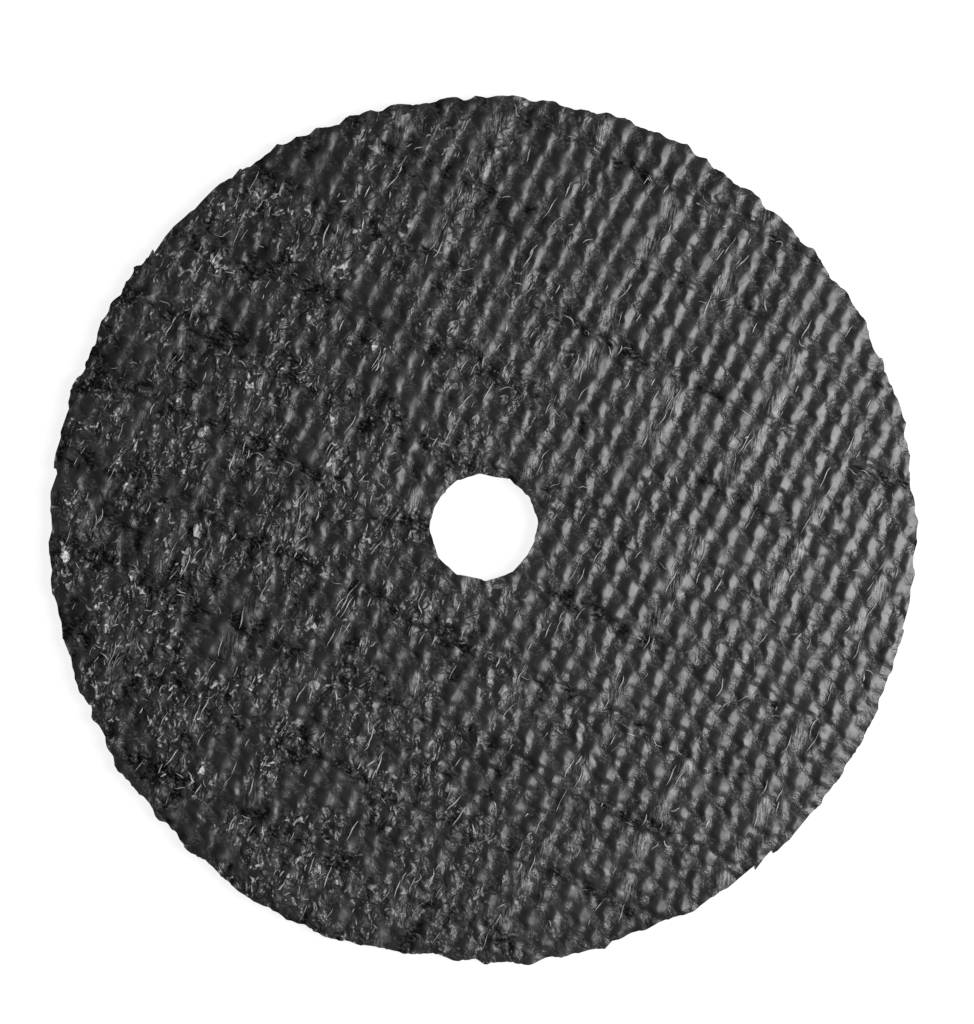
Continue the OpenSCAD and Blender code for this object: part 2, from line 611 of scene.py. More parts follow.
@dataclass
class Outline:
    """The rough rim and the bore, as radii that change with the angle from the direction of u."""

    rim_r: float = 38.1
    rim_x: float = -0.18
    rim_y: float = -0.26
    swell: Ripple = Ripple(0.15, 8, 5)
    wave: Ripple = Ripple(0.16, 84, 3)
    scallop: Ripple = Ripple(0.26, 250, 9)
    fray: Ripple = Ripple(0.07, 900, 15)
    step_at: float = 170.0
    step_out: float = 0.38
    step_in: float = 0.22
    step_run: float = 2.5
    step_soft: float = 0.5
    hollow_at: float = -68.0
    hollow_in: float = 0.34
    hollow_run: float = 3.4
    bore_r: float = 4.765
    bore_sides: int = 12
    bore_flat: float = 4.61
    bore_stray: float = 0.09
    bore_stray_row: int = 33
    bore_fray: Ripple = Ripple(0.06, 70, 27)
    seed: int = 21

    def __post_init__(self) -> None:
        """Fix the seeded pattern of the edges."""
        self.rough = Grain(self.seed)

    def rim_at(self, angle: Array) -> Array:
        """Radius of the rim at an angle about the rim's centre, in radians."""
        grades = (self.swell, self.wave, self.scallop, self.fray)
        rough = sum(grade.of(self.rough, angle) for grade in grades)
        return self.rim_r + rough + self.torn_step(angle) - self.hollow(angle)

    def torn_step(self, angle: Array) -> Array:
        """How far the torn step at the upper left stands out of the rim.

        Args:
            angle: angle about the rim's centre, in radians.

        Returns:
            The distance out of the rim, below 0 just before the step.
        """
        past = off_mark(np.degrees(angle), self.step_at, FULL_TURN)
        beyond = smooth_step(-self.step_soft, self.step_soft, past)
        jump = between((-self.step_in, self.step_out), beyond)
        return jump * np.exp(-np.abs(past) / self.step_run)

    def hollow(self, angle: Array) -> Array:
        """Depth of the shallow hollow at the bottom of the rim."""
        off = off_mark(np.degrees(angle), self.hollow_at, FULL_TURN) / self.hollow_run
        return self.hollow_in * np.exp(-(off**2))

    def bore_at(self, angle: Array) -> Array:
        """Radius of the bore's wall, which has flats as if cut by hand.

        Args:
            angle: angle about the bore's axis, in radians.

        Returns:
            The radius at each angle.
        """
        side = math.tau / self.bore_sides
        turn = angle % math.tau
        number = np.floor(turn / side)
        stray = self.rough.cell(number, np.full_like(turn, self.bore_stray_row))
        flat = self.bore_flat + self.bore_stray * stray
        return flat / np.cos(turn - (number + 0.5) * side) + self.bore_fray.of(self.rough, angle)


@dataclass
class Mesh:
    """Points and triangles as they are gathered; a point is x, y, z and its shares."""

    points: List[Array] = field(default_factory=list)
    count: int = 0
    faces: List[Array] = field(default_factory=list)

    def add_points(self, block: Array) -> Array:
        """Add a block of points.

        Args:
            block: the points, one a row.

        Returns:
            Their numbers in the mesh.
        """
        numbers = np.arange(self.count, self.count + len(block))
        self.points.append(block)
        self.count += len(block)
        return numbers

    def add_strip(self, a: Array, b: Array, key_a: Array, key_b: Array, flip: bool) -> None:
        """Join two neighbouring lines of points with triangles.

        Args:
            a: numbers of the left line's points, in rising order along it.
            b: numbers of the right line's points.
            key_a: places of the left line's points along it.
            key_b: places of the right line's points along it.
            flip: whether the triangles face down.
        """
        mid_a = (key_a[1:] + key_a[:-1]) / 2.0
        mid_b = (key_b[1:] + key_b[:-1]) / 2.0
        to_b = np.searchsorted(mid_b, mid_a, side="right")
        to_a = np.searchsorted(mid_a, mid_b, side="left")
        left = np.stack([a[:-1], b[to_b], a[1:]], axis=1)
        right = np.stack([b[:-1], b[1:], a[to_a]], axis=1)
        block = np.concatenate([left, right])
        self.faces.append(block[:, ::-1] if flip else block)

    def add_band(self, upper: Array, lower: Array) -> None:
        """Join two closed loops of as many points, facing out when they run counter-clockwise.

        Args:
            upper: numbers of the upper loop's points.
            lower: numbers of the lower loop's points.
        """
        upper_next = np.roll(upper, -1)
        lower_next = np.roll(lower, -1)
        self.faces.append(np.stack([upper, lower, lower_next], axis=1))
        self.faces.append(np.stack([upper, lower_next, upper_next], axis=1))

    def to_object(self, name: str) -> bpy.types.Object:
        """Make a smooth Blender object, turning millimetres into metres.

        Args:
            name: the object's name.

        Returns:
            The new object, linked to the scene.
        """
        points = np.concatenate(self.points)
        faces = np.concatenate(self.faces)
        mesh = bpy.data.meshes.new(name)
        mesh.from_pydata((points[:, :3] * MM).tolist(), [], faces.tolist())
        mesh.polygons.foreach_set("use_smooth", np.ones(len(mesh.polygons), dtype=bool))
        for column, label in enumerate(SHARES, start=3):
            share = mesh.attributes.new(label, "FLOAT", "POINT")
            share.data.foreach_set("value", points[:, column].astype(np.float32))
        mesh.update()
        return put(name, mesh)


@dataclass
class Line:
    """One line of points across a face: its place, and its runs below and above the bore."""

    u: float
    runs: List[Array]


@dataclass
class WheelBody:
    """The moulded wheel: woven front, ribbed back, rough rim and bore in one closed mesh."""

    weave: Weave
    outline: Outline
    half_thick: float = 0.8
    lines_per_rib: int = 8
    points_per_pick: int = 5
    back_points: int = 10
    end_gap: float = 0.45
    side_gap: float = 0.9
    side_trim: int = 2
    rim_tries: int = 4
    bore_step: float = 0.25
    bore_steps: int = 4
    bore_least: float = 0.1
    edge_round: float = 0.10
    edge_round_w: float = 0.35
    front_top: float = -0.085
    top_gap: float = 0.002
    back_depth: float = 0.12
    wall_steps: Tuple[float, ...] = (0.12, 0.35, 0.65, 0.88)
    wall_rough: float = 0.06
    wall_ripples: int = 512
    wall_row: int = 40
    wall_worn: float = 0.6
    sharp_angle: float = 55.0

    def rim_centre(self) -> Tuple[float, float]:
        """Place of the rim's centre in weave coordinates."""
        return self.weave.to_weave(self.outline.rim_x, self.outline.rim_y)

    def rim_reach(self, off: Array, sign: float, upright: bool) -> Array:
        """Distance from the rim's centre to the rim along a line of the weave.

        Args:
            off: how far the lines pass from the rim's centre.
            sign: which of a line's two ends.
            upright: whether the lines run along the ribs.

        Returns:
            The signed distance along each line.
        """
        reach = sign * half_chord(self.outline.rim_r, off)
        for _ in range(self.rim_tries):
            radius = self.outline.rim_at(bearing(reach, off, upright))
            reach = sign * half_chord(radius, off)
        return reach

    def bore_reach(self, off: Array, sign: float, upright: bool) -> Array:
        """Signed distance from the bore's axis to its wall, from the same values as for the rim."""
        reach = sign * half_chord(self.outline.bore_r, off)
        radius = self.outline.bore_at(bearing(reach, off, upright))
        return sign * half_chord(radius, off, self.bore_least)

    def lines(self, step: float) -> List[Line]:
        """Lay out the lines of points of one face from left to right.

        Args:
            step: distance between points along a line.

        Returns:
            The lines that lie inside the rim, clear of its two sides.
        """
        cloth = self.weave.cloth
        gap = cloth.rib_pitch / self.lines_per_rib
        cu, _ = self.rim_centre()
        reach = self.outline.rim_r - self.side_gap
        first = math.ceil((cu - reach - cloth.rib_shift) / gap)
        last = math.floor((cu + reach - cloth.rib_shift) / gap)
        return [self.line(cloth.rib_shift + k * gap, step) for k in range(first, last + 1)]

    def line(self, u: float, step: float) -> Line:
        """Lay out one line, parted by the bore where it crosses it.

        Args:
            u: place of the line across the ribs.
            step: distance between points along it.

        Returns:
            The line from the rim's lower edge to its upper edge.
        """
        cu, cv = self.rim_centre()
        off = np.array([u - cu])
        low, high = (cv + float(self.rim_reach(off, sign, True)[0]) for sign in (-1.0, 1.0))
        start = self.weave.cloth.pick_shift + u * self.weave.lean
        if abs(u) > self.outline.bore_r - self.bore_step:
            return Line(u, [self.run(start, step, low, high)])
        down, up = (self.bore_reach(np.array([u]), sign, True)[0] for sign in (-1.0, 1.0))
        return Line(u, [self.run(start, step, low, down), self.run(start, step, up, high)])

    def run(self, start: float, step: float, low: float, high: float) -> Array:
        """Evenly spaced places between two ends, and the ends themselves.

        Args:
            start: any one of the even places.
            step: distance between them.
            low: lower end.
            high: upper end.

        Returns:
            The places in rising order.
        """
        first = math.ceil((low - start) / step + self.end_gap)
        last = math.floor((high - start) / step - self.end_gap)
        inner = start + step * np.arange(first, last + 1)
        return np.concatenate([[low], inner, [high]])

    def rim_gap(self, u: Array, v: Array) -> Array:
        """Distance of points from the rim.

        Args:
            u, v: places across and along the ribs.

        Returns:
            The distance of each point, above 0 inside the rim.
        """
        cu, cv = self.rim_centre()
        du, dv = u - cu, v - cv
        return self.outline.rim_at(np.arctan2(dv, du)) - np.hypot(du, dv)

    def surface(self, u: Array, v: Array, side: Side) -> Array:
        """Points of a face, rounded towards the rim.

        Args:
            u, v: places across and along the ribs.
            side: which face.

        Returns:
            One row a point, as the mesh takes them.
        """
        x, y = self.weave.to_wheel(u, v)
        worn = self.edge_round * np.exp(-((self.rim_gap(u, v) / self.edge_round_w) ** 2))
        if side is Side.FRONT:
            relief = self.weave.relief(u, v)
            z = self.half_thick + np.minimum(relief.height + self.front_top, -self.top_gap) - worn
            return np.stack([x, y, z, relief.cross, relief.floats, relief.film, relief.pits], axis=1)
        turn = math.tau * (u - self.weave.cloth.rib_shift) / self.weave.cloth.rib_pitch
        rise = self.back_depth * (0.5 - 0.5 * np.cos(turn))
        plain = [np.zeros_like(u)] * len(SHARES)
        return np.stack([x, y, rise + worn - self.half_thick, *plain], axis=1)

    def rim_side(self, row: Array, step: float, sign: float) -> Tuple[Array, Array]:
        """Corners of the rim beyond the outermost line on one side.

        Args:
            row: places along that line.
            step: distance between the corners.
            sign: which side.

        Returns:
            Places of the corners across and along the ribs.
        """
        cu, cv = self.rim_centre()
        steps = int((row[-1] - row[0]) / step)
        v = np.linspace(row[0], row[-1], steps + 1)[self.side_trim : -self.side_trim]
        return cu + self.rim_reach(v - cv, sign, False), v

    def bore_side(self, line: Line, sign: float) -> Tuple[Array, Array]:
        """Corners of the bore beyond the outermost line that it parts.

        Args:
            line: that line.
            sign: which side.

        Returns:
            Places of the corners across and along the ribs.
        """
        low, high = line.runs[0][-1], line.runs[1][0]
        steps = max(int((high - low) / self.bore_step), self.bore_steps)
        v = np.linspace(low, high, steps + 1)[1:-1]
        return self.bore_reach(v, sign, False), v

    def face(self, mesh: Mesh, side: Side) -> Tuple[Array, Array]:
        """Build one face.

        Args:
            mesh: where the points and triangles go.
            side: which face.

        Returns:
            The numbers of the points round the rim and round the bore, counter-clockwise from above.
        """
        fine = self.weave.cloth.pick_pitch / self.points_per_pick
        flip = side is Side.BACK
        rows = self.lines(fine * self.back_points if flip else fine)

        def place(u: Array, v: Array) -> Array:
            """Add points of this face and give their numbers."""
            return mesh.add_points(self.surface(u, v, side))

        numbers = [[place(np.full_like(run, row.u), run) for run in row.runs] for row in rows]
        left_u, left_v = self.rim_side(rows[0].runs[0], fine, -1.0)
        right_u, right_v = self.rim_side(rows[-1].runs[0], fine, 1.0)
        left, right = place(left_u, left_v), place(right_u, right_v)
        mesh.add_strip(left, numbers[0][0], left_v, rows[0].runs[0], flip)
        mesh.add_strip(numbers[-1][0], right, rows[-1].runs[0], right_v, flip)
        holed = [i for i, row in enumerate(rows) if len(row.runs) == 2]
        in_u, in_v = self.bore_side(rows[holed[0]], -1.0)
        out_u, out_v = self.bore_side(rows[holed[-1]], 1.0)
        bore_left, bore_right = place(in_u, in_v), place(out_u, out_v)
        for i in range(1, len(rows)):
            a, b = rows[i - 1], rows[i]
            if len(a.runs) == len(b.runs):
                for k in range(len(a.runs)):
                    mesh.add_strip(numbers[i - 1][k], numbers[i][k], a.runs[k], b.runs[k], flip)
            elif len(b.runs) == 2:
                joined = np.concatenate([numbers[i][0], bore_left, numbers[i][1]])
                keys = np.concatenate([b.runs[0], in_v, b.runs[1]])
                mesh.add_strip(numbers[i - 1][0], joined, a.runs[0], keys, flip)
            else:
                joined = np.concatenate([numbers[i - 1][0], bore_right, numbers[i - 1][1]])
                keys = np.concatenate([a.runs[0], out_v, a.runs[1]])
                mesh.add_strip(joined, numbers[i][0], keys, b.runs[0], flip)
        below = [n[0][0] for n in numbers]
        above = [n[-1][-1] for n in numbers]
        rim = np.concatenate([below, right, above[::-1], left[::-1]]).astype(int)
        under = [numbers[i][0][-1] for i in holed]
        over = [numbers[i][1][0] for i in holed]
        bore = np.concatenate([under, bore_right, over[::-1], bore_left[::-1]]).astype(int)
        return rim, bore

    def wall(self, mesh: Mesh, front: Array, back: Array, rough: float) -> List[Array]:
        """Lay rough rings between the edges of the two faces.

        Args:
            mesh: where the points go.
            front: numbers of the front edge's points.
            back: numbers of the back edge's points.
            rough: how far the rings stray in and out.

        Returns:
            The numbers of each ring's points, from the front edge to the back edge.
        """
        points = np.concatenate(mesh.points)
        upper, lower = points[front], points[back]
        rings = [front]
        for row, t in enumerate(self.wall_steps, start=self.wall_row):
            ring = upper * (1.0 - t) + lower * t
            radius = np.hypot(ring[:, 0], ring[:, 1])
            angle = np.arctan2(ring[:, 1], ring[:, 0])
            stray = self.outline.rough.ring(angle, self.wall_ripples, row) - self.wall_worn
            ring[:, :2] *= (1.0 + rough * stray / radius)[:, None]
            rings.append(mesh.add_points(ring))
        return rings + [back]

    def build(self) -> bpy.types.Object:
        """Make the wheel's closed mesh as one object."""
        mesh = Mesh()
        rim_front, bore_front = self.face(mesh, Side.FRONT)
        rim_back, bore_back = self.face(mesh, Side.BACK)
        rim_rings = self.wall(mesh, rim_front, rim_back, self.wall_rough)
        bore_rings = self.wall(mesh, bore_front, bore_back, 0.0)
        for upper, lower in zip(rim_rings, rim_rings[1:]):
            mesh.add_band(upper, lower)
        for upper, lower in zip(bore_rings, bore_rings[1:]):
            mesh.add_band(lower, upper)
        thing = mesh.to_object("wheel_body")
        thing.data.set_sharp_from_angle(angle=math.radians(self.sharp_angle))
        return thing


@dataclass(frozen=True)
class FibreKind:
    """One kind of stray fibre: where it lies, how many are tried, and how they look.

    The slip is how far fibres stray from the thread that they lie along.
    """

    lay: Lay
    tries: int
    rings: int
    length: Span
    radius: Span
    spread: float
    curl: float
    slip: float


@dataclass
class StrayFibres:
    """Stray glass fibres and crumbs of resin film, half sunk in the front face."""

    body: WheelBody
    seed: int = 31
    sides: int = 5
    sunk: float = 0.45
    bridge: float = 0.38
    edge_gap: float = 0.35
    rib_edge: float = 0.42
    sway: float = 0.4
    taper: float = 3.0
    kinds: Tuple[FibreKind, ...] = (
        FibreKind(Lay.STRAND, 300, 9, (0.7, 2.4), (0.040, 0.085), spread=0.13, curl=0.4, slip=0.75),
        FibreKind(Lay.ROW, 160, 8, (0.4, 1.3), (0.040, 0.070), spread=0.45, curl=0.8, slip=0.35),
        FibreKind(Lay.RIB, 200, 8, (0.4, 1.5), (0.040, 0.075), spread=0.12, curl=0.3, slip=0.1),
        FibreKind(Lay.FILM, 900, 7, (0.30, 1.10), (0.045, 0.100), spread=0.8, curl=0.7, slip=0.0),
    )

    def starts(self, kind: FibreKind, rng: np.random.Generator) -> Tuple[Array, Array, Array]:
        """Middles and headings of the fibres of one kind.

        Args:
            kind: which kind.
            rng: source of the seeded draws.

        Returns:
            Places across and along the ribs, and headings from the direction across the ribs.
        """
        weave, outline = self.body.weave, self.body.outline
        cloth, mesh = weave.cloth, weave.mesh
        u, v = rng.uniform(-1.0, 1.0, (2, kind.tries)) * outline.rim_r
        heading = rng.normal(0.0, kind.spread, kind.tries)
        slip = kind.slip * rng.normal(0.0, 1.0, kind.tries)
        luck = rng.uniform(0.0, 1.0, kind.tries)
        if kind.lay is Lay.ROW:
            v = v - mesh.off_row(v) + slip
        if kind.lay is Lay.STRAND:
            u = u - mesh.off_strand(u) + slip
        if kind.lay is Lay.RIB:
            crest = u - off_mark(u, cloth.rib_shift, cloth.rib_pitch)
            u = crest - self.rib_edge * cloth.rib_pitch + slip
        if kind.lay is not Lay.ROW:
            heading = heading + math.pi / 2
        shown = luck < (weave.film_share(u, v) if kind.lay is Lay.FILM else 1.0)
        inside = self.body.rim_gap(u, v) > self.edge_gap + kind.length[1] / 2
        outside = np.hypot(u, v) > outline.bore_r + self.edge_gap + kind.length[1] / 2
        kept = shown & inside & outside
        return u[kept], v[kept], heading[kept]

    def paths(self, kind: FibreKind, rng: np.random.Generator) -> Tuple[Array, Array]:
        """Middle lines and radii of the fibres of one kind, on the face.

        Args:
            kind: which kind.
            rng: source of the seeded draws.

        Returns:
            The points of each middle line, and the radius at each of them.
        """
        u, v, heading = self.starts(kind, rng)
        count = len(u)
        length = rng.uniform(*kind.length, count)
        radius = rng.uniform(*kind.radius, count)
        bend = rng.normal(0.0, kind.curl, count)
        phase = rng.uniform(0.0, math.tau, count)
        t = np.linspace(-0.5, 0.5, kind.rings)
        sway = self.sway * kind.curl * np.sin(math.tau * t[None, :] + phase[:, None])
        aim = heading[:, None] + bend[:, None] * t[None, :] + sway
        step = (length / (kind.rings - 1))[:, None]
        along_u = np.cumsum(np.cos(aim) * step, axis=1)
        along_v = np.cumsum(np.sin(aim) * step, axis=1)
        path_u = u[:, None] + along_u - along_u.mean(axis=1, keepdims=True)
        path_v = v[:, None] + along_v - along_v.mean(axis=1, keepdims=True)
        face = self.body.surface(path_u.ravel(), path_v.ravel(), Side.FRONT)[:, :3]
        middle = face.reshape(count, kind.rings, 3)
        z = middle[:, :, 2]
        highest = z.max(axis=1, keepdims=True)
        lift = radius[:, None] * (1.0 - 2.0 * self.sunk)
        level = z * (1.0 - self.bridge) + highest * self.bridge + lift
        middle[:, :, 2] = np.minimum(level, self.body.half_thick - radius[:, None])
        return middle, radius[:, None] * (1.0 - self.taper * t[None, :] ** 2)

    def tubes(self, mesh: Mesh, middle: Array, radius: Array) -> None:
        """Add one closed tube round each middle line.

        Args:
            mesh: where the points and triangles go.
            middle: points of the middle lines.
            radius: radius at each of those points.
        """
        count, rings, _ = middle.shape
        tangent = np.gradient(middle, axis=1)
        tangent /= np.linalg.norm(tangent, axis=2, keepdims=True)
        across = np.cross(tangent, np.array([0.0, 0.0, 1.0]))
        across /= np.linalg.norm(across, axis=2, keepdims=True)
        upward = np.cross(across, tangent)
        angle = np.arange(self.sides) * math.tau / self.sides
        wide = np.cos(angle)[:, None] * across[:, :, None, :]
        tall = np.sin(angle)[:, None] * upward[:, :, None, :]
        skin = middle[:, :, None, :] + radius[:, :, None, None] * (wide + tall)
        plain = np.zeros((skin.size // 3, len(SHARES)))
        block = np.concatenate([skin.reshape(-1, 3), plain], axis=1)
        numbers = mesh.add_points(block).reshape(count, rings, self.sides)
        here, ahead = numbers[:, :-1], numbers[:, 1:]
        here_next, ahead_next = np.roll(here, -1, axis=2), np.roll(ahead, -1, axis=2)
        mesh.faces.append(np.stack([here, ahead, ahead_next], axis=-1).reshape(-1, 3))
        mesh.faces.append(np.stack([here, ahead_next, here_next], axis=-1).reshape(-1, 3))
        for k in range(1, self.sides - 1):
            first, last = numbers[:, 0], numbers[:, -1]
            mesh.faces.append(np.stack([first[:, 0], first[:, k], first[:, k + 1]], axis=1))
            mesh.faces.append(np.stack([last[:, 0], last[:, k + 1], last[:, k]], axis=1))

    def build(self) -> bpy.types.Object:
        """Make all the fibres as one object."""
        rng = np.random.default_rng(self.seed)
        mesh = Mesh()
        for kind in self.kinds:
            self.tubes(mesh, *self.paths(kind, rng))
        return mesh.to_object("stray_fibres")


@dataclass(frozen=True)
class Speckle:
    """One layer of noise in a finish.

    It has the size of its cells along two axes in millimetres, a number of finer layers, and how
    far the cells are bent out of shape.
    """

    cells: Span
    detail: float
    tangle: float = 0.0


class Shading:
    """A node material under construction, with the helpers that the finishes share."""

    NOISE_ROUGH = 0.6

    def __init__(self, name: str) -> None:
        """Start a material.

        Args:
            name: the material's name.
        """
        self.material = bpy.data.materials.new(name)
        self.material.use_nodes = True
        self.nodes = self.material.node_tree.nodes
        self.links = self.material.node_tree.links
        self.shader = self.nodes["Principled BSDF"]
        self.where = self.nodes.new("ShaderNodeTexCoord").outputs["Object"]

    def node(self, kind: str, values: Dict[Union[str, int], Value]) -> bpy.types.Node:
        """Make a node.

        Args:
            kind: the node's type.
            values: for an input's name or number, the socket to link to it or its plain value.

        Returns:
            The new node.
        """
        node = self.nodes.new(kind)
        for label, value in values.items():
            if isinstance(value, Socket):
                self.links.new(value, node.inputs[label])
            else:
                node.inputs[label].default_value = value
        return node

    def dress(self, label: str, value: Socket) -> None:
        """Link a value to one of the shader's inputs."""
        self.links.new(value, self.shader.inputs[label])

    def axes(self, turn: float) -> Socket:
        """Coordinates turned about the wheel's axis by an angle in radians."""
        turned = self.node("ShaderNodeMapping", {"Vector": self.where, "Rotation": (0.0, 0.0, -turn)})
        return turned.outputs["Vector"]

    def noise(self, axes: Socket, speckle: Speckle) -> Socket:
        """Noise with its own cell size along each axis.

        Args:
            axes: the coordinates.
            speckle: the kind of noise.

        Returns:
            The noise, from 0 to 1.
        """
        per_u, per_v = (1.0 / (size * MM) for size in speckle.cells)
        stretched = self.node("ShaderNodeMapping", {"Vector": axes, "Scale": (per_u, per_v, per_u)})
        values = {
            "Vector": stretched.outputs["Vector"],
            "Scale": 1.0,
            "Detail": speckle.detail,
            "Roughness": self.NOISE_ROUGH,
            "Distortion": speckle.tangle,
        }
        return self.node("ShaderNodeTexNoise", values).outputs["Fac"]

    def share(self, label: str) -> Socket:
        """A share that the mesh carries at each point, by its name."""
        node = self.nodes.new("ShaderNodeAttribute")
        node.attribute_name = label
        return node.outputs["Fac"]

    def blend(self, factor: Socket, a: Socket, b: Socket) -> Socket:
        """Blend two numbers by a factor."""
        return self.node("ShaderNodeMix", {0: factor, 2: a, 3: b}).outputs[0]

    def join(self, how: str, a: Socket, b: Socket) -> Socket:
        """Join two numbers by one of the maths node's operations."""
        node = self.node("ShaderNodeMath", {0: a, 1: b})
        node.operation = how
        return node.outputs[0]

    def add(self, a: Socket, b: Socket) -> Socket:
        """Sum of two numbers."""
        return self.join("ADD", a, b)

    def times(self, a: Socket, b: Socket) -> Socket:
        """Product of two numbers."""
        return self.join("MULTIPLY", a, b)

    def ramp(self, value: Socket, span: Span, tones: Span) -> Socket:
        """Map a span of values onto a span of tones."""
        ends = dict(zip(("From Min", "From Max", "To Min", "To Max"), (*span, *tones)))
        return self.node("ShaderNodeMapRange", {"Value": value, **ends}).outputs["Result"]

    def bump(self, height: Socket, depth: float, under: Optional[Socket] = None) -> Socket:
        """Add a bump.

        Args:
            height: the height, from 0 to 1.
            depth: what 1 stands for, in millimetres.
            under: the normal that it lies on, if there is one.

        Returns:
            The bumped normal.
        """
        node = self.node("ShaderNodeBump", {"Height": height, "Strength": 1.0, "Distance": depth * MM})
        if under is not None:
            self.links.new(under, node.inputs["Normal"])
        return node.outputs["Normal"]


@dataclass(frozen=True)
class Layers:
    """What the resin's looks are mixed from: shares that the mesh carries, and layers of noise."""

    cross: Socket
    floats: Socket
    film: Socket
    pits: Socket
    cloud: Socket
    grain: Socket
    torn: Socket
    spots_and_glints: Socket
    on_ribs: Socket
    on_picks: Socket
    on_floats: Socket


@dataclass(frozen=True)
class ResinFinish:
    """Dark satin resin with the fibres of the cloth's threads and torn film showing in it.

    Each span of a layer of noise holds the values between which that layer comes in.
    """

    name: str = "dark_resin"
    cloud: Speckle = Speckle((2.4, 2.4), 4.0)
    tone_span: Span = (0.35, 0.70)
    tones: Span = (0.012, 0.028)
    rough_span: Span = (0.30, 0.70)
    rough: Span = (0.29, 0.40)
    shine: Span = (0.53, 0.06)
    grain: Speckle = Speckle((0.26, 0.26), 3.0)
    grain_depth: float = 0.020
    bead_grain: float = 0.10
    rib_fibres: Speckle = Speckle((0.9, 1.4), 1.0)
    pick_fibres: Speckle = Speckle((0.36, 0.22), 2.0)
    pick_span: Span = (0.47, 0.62)
    pick_tones: Span = (0.0, 0.034)
    float_fibres: Speckle = Speckle((0.15, 1.0), 3.0)
    float_slant: float = 20.0
    float_span: Span = (0.46, 0.64)
    float_tone: float = 0.20
    fibre_depth: float = 0.06
    scraps: Speckle = Speckle((1.1, 1.5), 2.0, 0.5)
    scrap_span: Span = (0.44, 0.56)
    film: Speckle = Speckle((0.75, 1.05), 0.0, 0.5)
    film_rough: float = 0.08
    film_depth: float = 0.24
    # Pale spots on the film, most of all on the left: partly pale torn film, partly painted glints.
    spots_and_glints: Speckle = Speckle((0.70, 0.95), 1.0, 0.9)
    spot_and_glint_span: Span = (0.60, 0.68)
    spot_and_glint_tone: float = 0.66
    # These break the pale spots and painted glints into crumbs.
    crumb_span: Span = (0.40, 0.56)
    crumbs: Span = (0.30, 1.0)
    pit_span: Span = (0.46, 0.62)
    pit_share: Span = (1.0, 0.35)
    pit_rough: float = 0.30
    # How far the colour is darkened in the pits: painted shade in them.
    pit_shade_tone: float = 0.14

    def layers(self, shading: Shading, turn: float) -> Layers:
        """Make what the looks are mixed from.

        Args:
            shading: the material under construction.
            turn: angle of the weave's own axes, in radians.

        Returns:
            The shares, with the film in scraps and the pits broken by threads, and the noise.
        """
        weave = shading.axes(turn)
        slanted = shading.axes(turn + math.radians(self.float_slant))
        cross, floats, film, pits = (shading.share(label) for label in SHARES)
        on_picks = shading.noise(weave, self.pick_fibres)
        scraps = shading.ramp(shading.noise(weave, self.scraps), self.scrap_span, WHOLE)
        return Layers(
            cross=cross,
            floats=floats,
            film=shading.times(film, scraps),
            pits=shading.times(pits, shading.ramp(on_picks, self.pit_span, self.pit_share)),
            cloud=shading.noise(weave, self.cloud),
            grain=shading.noise(weave, self.grain),
            torn=shading.noise(weave, self.film),
            # Noise of the pale spots on the film, which are partly painted glints.
            spots_and_glints=shading.noise(weave, self.spots_and_glints),
            on_ribs=shading.noise(weave, self.rib_fibres),
            on_picks=on_picks,
            on_floats=shading.noise(slanted, self.float_fibres),
        )

    def tone(self, shading: Shading, layers: Layers) -> Socket:
        """Mix the colour: clouded resin, paler fibres, pale spots on the film that are partly torn film and
        partly painted glints, and painted shade in the pits.

        Args:
            shading: the material under construction.
            layers: what it is mixed from.

        Returns:
            The tone of grey.
        """
        streaks = shading.ramp(layers.on_floats, self.float_span, (0.0, self.float_tone))
        threads = shading.ramp(layers.on_picks, self.pick_span, self.pick_tones)
        # Pale spots on the film: partly pale torn film, partly painted glints.
        spot_and_glint = shading.ramp(layers.spots_and_glints, self.spot_and_glint_span, (0.0, self.spot_and_glint_tone))
        spot_and_glint = shading.times(spot_and_glint, shading.ramp(layers.grain, self.crumb_span, self.crumbs))
        tone = shading.ramp(layers.cloud, self.tone_span, self.tones)
        for share, paler in ((layers.floats, streaks), (layers.cross, threads), (layers.film, spot_and_glint)):
            tone = shading.add(tone, shading.times(share, paler))
        # Darken the colour in the pits: painted shade in them.
        return shading.times(tone, shading.ramp(layers.pits, WHOLE, (1.0, self.pit_shade_tone)))

    def satin(self, shading: Shading, layers: Layers) -> Socket:
        """Mix the roughness: clouded, and duller in pits and on film.

        Args:
            shading: the material under construction.
            layers: what it is mixed from.

        Returns:
            The roughness.
        """
        satin = shading.ramp(layers.cloud, self.rough_span, self.rough)
        for share, duller in ((layers.pits, self.pit_rough), (layers.film, self.film_rough)):
            satin = shading.add(satin, shading.ramp(share, WHOLE, (0.0, duller)))
        return satin

    def normal(self, shading: Shading, layers: Layers) -> Socket:
        """Lay the bumps over each other: grain, then fibres, then crumpled film.

        Args:
            shading: the material under construction.
            layers: what they are made from.

        Returns:
            The bumped normal.
        """
        grain = shading.ramp(layers.grain, WHOLE, (-0.5, 0.5))
        grain = shading.times(grain, shading.ramp(layers.cross, WHOLE, (self.bead_grain, 1.0)))
        fibres = shading.blend(layers.cross, layers.on_ribs, layers.on_picks)
        fibres = shading.blend(layers.floats, fibres, layers.on_floats)
        grainy = shading.bump(grain, self.grain_depth)
        fibrous = shading.bump(fibres, self.fibre_depth, grainy)
        return shading.bump(shading.times(layers.film, layers.torn), self.film_depth, fibrous)

    def build(self, turn: float) -> bpy.types.Material:
        """Make the material.

        Args:
            turn: angle of the weave's own axes, in radians.

        Returns:
            The node material.
        """
        shading = Shading(self.name)
        layers = self.layers(shading, turn)
        shading.dress("Base Color", self.tone(shading, layers))
        shading.dress("Roughness", self.satin(shading, layers))
        shading.dress("Specular IOR Level", shading.ramp(layers.pits, WHOLE, self.shine))
        shading.dress("Normal", self.normal(shading, layers))
        return shading.material


